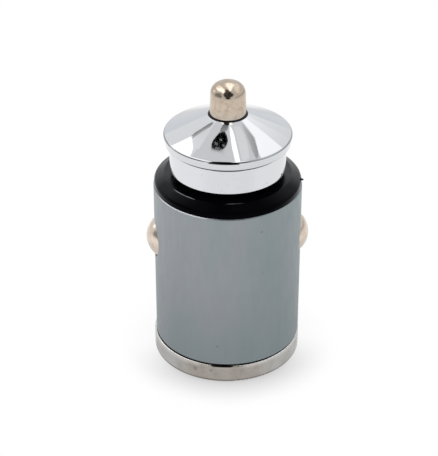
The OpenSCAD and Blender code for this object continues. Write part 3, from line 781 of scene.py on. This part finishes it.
def card(name, corners, faces, tones):
    """A studio card that shows only in what the object reflects, with one tone at each corner."""
    mesh = bpy.data.meshes.new(name)
    mesh.from_pydata([corner * MM for corner in corners], [], faces)
    mesh.attributes.new("tone", "FLOAT", "POINT").data.foreach_set("value", tones)
    mesh.materials.append(CARD_LIGHT)
    obj = placed(name, mesh)
    obj.visible_camera = False
    obj.visible_diffuse = False
    obj.visible_shadow = False


def ladder(rows):
    """The faces of a strip of corners that come in pairs."""
    return [(2 * i, 2 * i + 1, 2 * i + 3, 2 * i + 2) for i in range(rows - 1)]


def band(name, stations, distance, inner, outer):
    """A card that fills part of the cone's reflection, from an inner tone to an outer one.

    Each station is a turn from the front with the inner and outer radius there.
    """
    rows = []
    for before, after in zip(stations, stations[1:]):
        for i in range(BAND_STEPS):
            rows.append([a + (b - a) * i / BAND_STEPS for a, b in zip(before, after)])
    rows.append(stations[-1])
    places = [seen_in_cone(turn, r, distance) for turn, *radii in rows for r in radii]
    card(name, places, ladder(len(rows)), [inner, outer] * len(rows))


def sky(name, turns, distance, inner, outer):
    """A band over the whole width of the cone."""
    band(name, [(turn, *SKY_RADII) for turn in turns], distance, inner, outer)


def patch(name, tone, corners):
    """A flat card far behind the bands. A corner is an azimuth from the camera's and an elevation."""
    middle = Vector((0, 0, CAP_Z0))
    ways = [direction(CAMERA_AZIMUTH + azimuth, elevation) for azimuth, elevation in corners]
    places = [middle + way * WINDOW_DISTANCE for way in ways]
    card(name, places, [tuple(range(len(corners)))], [tone] * len(corners))


def hood():
    """The dark side of the studio: an arch over the camera.

    A row of it is an angle in front of straight up, with the left and the right edge there.
    """
    rows = [
        (-2, -42, 0), (16, -52, 27), (30, -78, 70), (40, -90, 118), (52, -103, 138),
        (64, -95, 108), (73, -77, 62), (82, -46, 46), (93, -45, 45),
    ]
    places = []
    for turn, *edges in rows:
        t = math.radians(turn)
        for x in edges:
            places.append(from_photo(x, -HOOD_R * math.sin(t), HOOD_BASE + HOOD_R * math.cos(t)))
    card("hood", places, ladder(len(rows)), [0.02] * len(places))


def stand():
    """A black card in front of the object, below the camera."""
    sides = (-STAND_HALF, STAND_HALF)
    corners = [from_photo(x, -STAND_DISTANCE, z) for z in STAND_HEIGHTS for x in sides]
    card("stand", corners, ladder(2), [0.0] * 4)


def cone_left():
    """The bright panel at the cone's left, its dark edge and the pale stretch beside it."""
    band("left_panel", [
        (-36, 8.3, 12), (-38, 7.6, 16), (-40, 7.25, 24), (-45, 6.75, 24), (-50, 6.3, 24),
        (-53, 6.05, 24), (-56, 6.9, 24), (-60, 8.2, 24), (-61, 8.6, 24),
    ], PANEL_DISTANCE, 1.6, 1.6)
    band("left_edge", [
        (-38, 3.2, 3.8), (-41, 3.1, 4.2), (-45, 3.2, 5.0), (-50, 4.1, 6.5), (-54, 5.4, 6.7),
    ], EDGE_DISTANCE, 0.2, 0.56)
    band("left_pale", [
        (-32, 4.6, 7.4), (-35, 4.4, 7.4), (-40, 4.6, 7.1), (-45, 5.0, 6.7), (-48, 5.6, 6.5),
    ], PALE_DISTANCE, 0.86, 0.94)


def cone_right():
    """The bright panel at the cone's right, its grey edge and the pale stretch beside it."""
    band("right_panel", [
        (31, 8.2, 10), (33, 7.3, 10), (35, 6.7, 10), (40, 5.7, 11), (42, 2.8, 12),
        (50, 2.8, 12), (56, 2.8, 12), (60, 2.8, 4.5),
    ], PANEL_DISTANCE, 1.3, 1.2)
    band("right_edge", [
        (26, 7.2, 8.6), (28, 6.0, 8.6), (31, 4.2, 7.9), (35, 3.3, 6.6), (38, 3.2, 5.6),
    ], EDGE_DISTANCE, 0.62, 0.4)
    band("right_pale", [
        (13, 3.6, 8.6), (16, 3.4, 8.6), (20, 3.4, 8.4), (24, 3.4, 6.6), (27, 3.4, 5.0),
    ], PALE_DISTANCE, 0.88, 0.88)


def cone_front():
    """The dark oval in the cone's front with four light folds, its smear and the bright strip."""
    band("dark_oval", [
        (-20.5, 5.6, 6.2), (-18.5, 5.0, 6.8), (-15, 4.35, 7.0), (-10, 4.15, 7.0),
        (-5, 4.2, 6.8), (-2, 4.6, 6.3), (0, 5.2, 5.7),
    ], EDGE_DISTANCE, 0.0, 0.0)
    # each fold is a sliver about a turn and a radius, and its right end lies a little further out
    folds = [(-15, 5.9, 5), (-10, 5.3, 4), (-12, 6.5, 5), (-5, 6.1, 3)]
    for i, (turn, r, length) in enumerate(folds):
        start = (turn - length / 2, r, r + 0.12)
        end = (turn + length / 2, r + 0.1, r + 0.24)
        band("fold_%d" % i, [start, end], PANEL_DISTANCE, 0.45, 0.45)
    band("dark_smear", [
        (-15, 3.7, 4.2), (-11, 2.8, 4.2), (-6, 2.8, 4.2), (-1, 2.8, 3.9), (1.5, 2.8, 3.4),
    ], PALE_DISTANCE, 0.12, 0.4)
    band("bright_strip", [
        (3.8, 3.3, 4.2), (5.0, 3.3, 6.4), (7.0, 3.4, 8.9), (9.5, 3.8, 12), (11.0, 4.6, 12),
    ], EDGE_DISTANCE, 1.5, 1.5)


def skies():
    """The plain greys and whites that the rest of the cone reflects."""
    sky("front_sky", (-34, 0, 26, 42), FRONT_SKY_DISTANCE, 0.77, 0.76)
    sky("left_sky", (-32, -50, -84), SIDE_SKY_DISTANCE, 0.9, 0.9)
    sky("right_sky", (40, 50, 76), SIDE_SKY_DISTANCE, 1.12, 0.85)
    sky("right_far", (76, 94), SIDE_SKY_DISTANCE, 1.0, 0.84)


def windows():
    """The bright and dark parts of the studio that the pin and the other rounds reflect."""
    patch("left_window", 2.2, [
        (-144, 31), (-154, 42), (-148, 58), (-88, 76), (-38, 62), (-39, 48), (-65, 51),
        (-95, 41), (-120, 34),
    ])
    patch("back_window", 2.2, [
        (-177, 35), (173, 34), (168, 42), (123, 73), (52, 74), (26, 72), (150, 86),
        (-175, 67), (-175, 42),
    ])
    patch("right_window", 1.15, [(171, 33), (166, 26), (132, 36), (80, 25), (63, 48), (144, 61)])
    patch("left_spot", 2.0, [(-118, 12), (-118, 22), (-104, 22), (-104, 12)])
    patch("dark_left", 0.3, [
        (-95, 6), (-84, 22), (-69, 36), (-54, 38), (-37, 10), (-44, -2), (-68, -3), (-92, -2),
    ])
    patch("dark_right", 0.5, [(135, -2), (135, 4), (90, 6), (38, 6), (38, -2), (90, -2)])


def world():
    """Pale studio: white to the camera, a little dimmer overhead in reflections."""
    studio = bpy.data.worlds.new("studio")
    bpy.context.scene.world = studio
    n = Nodes(studio)
    way = n.node("ShaderNodeTexCoord").outputs["Generated"]
    overhead = n.span(n.axes(way)["Z"], 0.2, 0.95)
    lit = n.node("ShaderNodeBackground")
    n.put(lit.inputs["Color"], n.mix(overhead, (0.8, 0.82, 0.84, 1), (0.76, 0.765, 0.78, 1)))
    white = n.node("ShaderNodeBackground")
    n.put(white.inputs["Color"], WHITE)
    to_camera = n.node("ShaderNodeLightPath").outputs["Is Camera Ray"]
    output = n.node("ShaderNodeOutputWorld")
    n.put(output.inputs["Surface"], n.choice(to_camera, lit.outputs[0], white.outputs[0]))


def floor_white():
    """White with a soft shadow where the object meets it, dimmer far off in reflections."""
    s = Shader("floor")
    contact = s.node("ShaderNodeAmbientOcclusion", samples=16)
    s.put(contact.inputs["Distance"], SHADOW_REACH * MM)
    shade = s.span(contact.outputs["AO"], 0.5, 0.96, 1 - SHADOW_TONE, 0.0, smooth=False)
    # the shadow falls forward, away from the lamps
    shade = s.times(shade, s.span(s.place("Y"), -10, 1, 1.0, 0.15))
    shade = s.math("SUBTRACT", 1.0, shade)
    radius = s.radius()
    gloss = s.times(
        s.span(radius, 8, 60, 0.68, 1.0),
        s.span(radius, 70, 240, 1.02, 0.8),
        s.span(s.place("X"), 6, 40, 1.0, 0.96),
    )
    reflected = s.node("ShaderNodeLightPath").outputs["Is Glossy Ray"]
    light = s.glow(s.mix(reflected, shade, gloss))
    # it is open from below, so that the face end can be seen
    below = s.node("ShaderNodeNewGeometry").outputs["Backfacing"]
    clear = s.node("ShaderNodeBsdfTransparent").outputs[0]
    return s.ends_in(s.choice(below, light, clear))


def floor():
    """The floor that the object stands on."""
    made = bmesh.new()
    bmesh.ops.create_grid(made, x_segments=1, y_segments=1, size=FLOOR_HALF)
    obj = built("floor", made)
    obj.data.materials.append(floor_white())


for part in frame["record"]["subparts"]:
    dress(nodes[part["node"]], part["material_slot"])
cap()
springs()
burr()

world()
floor()
hood()
stand()
cone_left()
cone_right()
cone_front()
skies()
windows()
softbox("softbox_left", -SOFTBOX_TURN, 2.2)
softbox("softbox_right", SOFTBOX_TURN, 2.0)
camera()

view = bpy.context.scene.view_settings
view.view_transform = "Standard"
